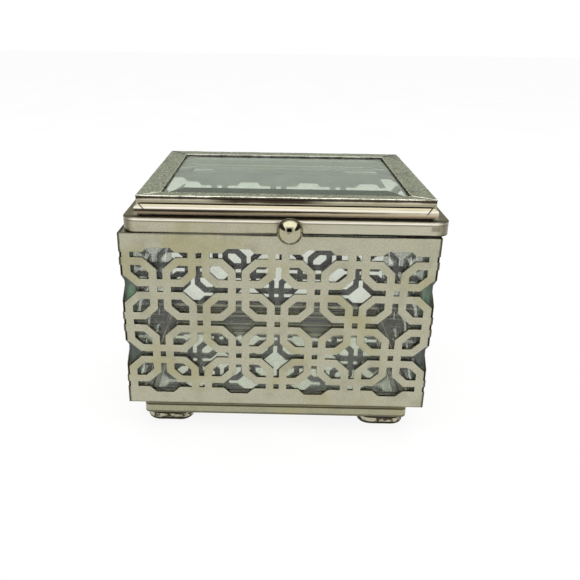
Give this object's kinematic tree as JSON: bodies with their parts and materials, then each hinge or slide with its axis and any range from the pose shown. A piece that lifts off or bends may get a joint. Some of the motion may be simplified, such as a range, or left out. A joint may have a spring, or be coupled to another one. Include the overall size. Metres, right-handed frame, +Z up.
{
  "type": "glass casket box",
  "caption": "Box of pierced metal panels over green-tinted glass, with a mirrored floor, small pad feet and a hinged lid with a bevelled glass pane and a ball knob.",
  "frame": {"origin": "middle of the object's footprint, on the plane that the feet stand on", "axes": "+X to the right along the front, +Y towards the hinge at the back, +Z up"},
  "size_m": [0.1024, 0.093, 0.0825],
  "materials": {
    "pierced_panel": "plated, softly polished, faintly stained",
    "pane_glass": "clear green-tinted plate glass",
    "rim_metal": "plated, dull",
    "base_metal": "plated, softly polished, tarnished at the folds",
    "card": "matt pulp card",
    "mirror": "silvered glass",
    "foot_metal": "cast, worn plating with dark patina",
    "hinge_metal": "plated, rubbed at the knuckles",
    "rivet_metal": "plated, peened",
    "pin_metal": "drawn wire",
    "band_metal": "plated, softly polished",
    "moulding_metal": "plated, polished bead",
    "seat_metal": "plated, dull",
    "lid_glass": "bevelled green-tinted plate glass",
    "frame_metal": "plated, fine-grained",
    "knob_metal": "bright polished"
  },
  "bodies": {
    "box": {"panel_front": "pierced_panel", "panel_back": "pierced_panel", "panel_left": "pierced_panel", "panel_right": "pierced_panel", "pane_front": "pane_glass", "pane_back": "pane_glass", "pane_left": "pane_glass", "pane_right": "pane_glass", "rim_front": "rim_metal", "rim_back": "rim_metal", "rim_left": "rim_metal", "rim_right": "rim_metal", "base_tray": "base_metal", "mirror_backing": "card", "floor_mirror": "mirror", "foot_front_left": "foot_metal", "foot_front_right": "foot_metal", "foot_back_left": "foot_metal", "foot_back_right": "foot_metal", "hinge_leaf_body": "hinge_metal", "hinge_rivets_body": "rivet_metal", "hinge_pin": "pin_metal"},
    "lid": {"lid_band": "band_metal", "lid_moulding_front": "moulding_metal", "lid_moulding_back": "moulding_metal", "lid_moulding_left": "moulding_metal", "lid_moulding_right": "moulding_metal", "lid_seat_front": "seat_metal", "lid_seat_back": "seat_metal", "lid_seat_left": "seat_metal", "lid_seat_right": "seat_metal", "lid_glass": "lid_glass", "lid_frame_front": "frame_metal", "lid_frame_back": "frame_metal", "lid_frame_left": "frame_metal", "lid_frame_right": "frame_metal", "knob": "knob_metal", "knob_rivet": "rivet_metal", "hinge_leaf_lid": "hinge_metal", "hinge_rivets_lid": "rivet_metal"}
  },
  "joints": [
    {"name": "lid_hinge", "type": "hinge", "parent": "box", "child": "lid", "pos_m": [-0.00115, 0.04487, 0.0716], "axis": [-1, 0, 0], "range_deg": [0, 110]}
  ]
}
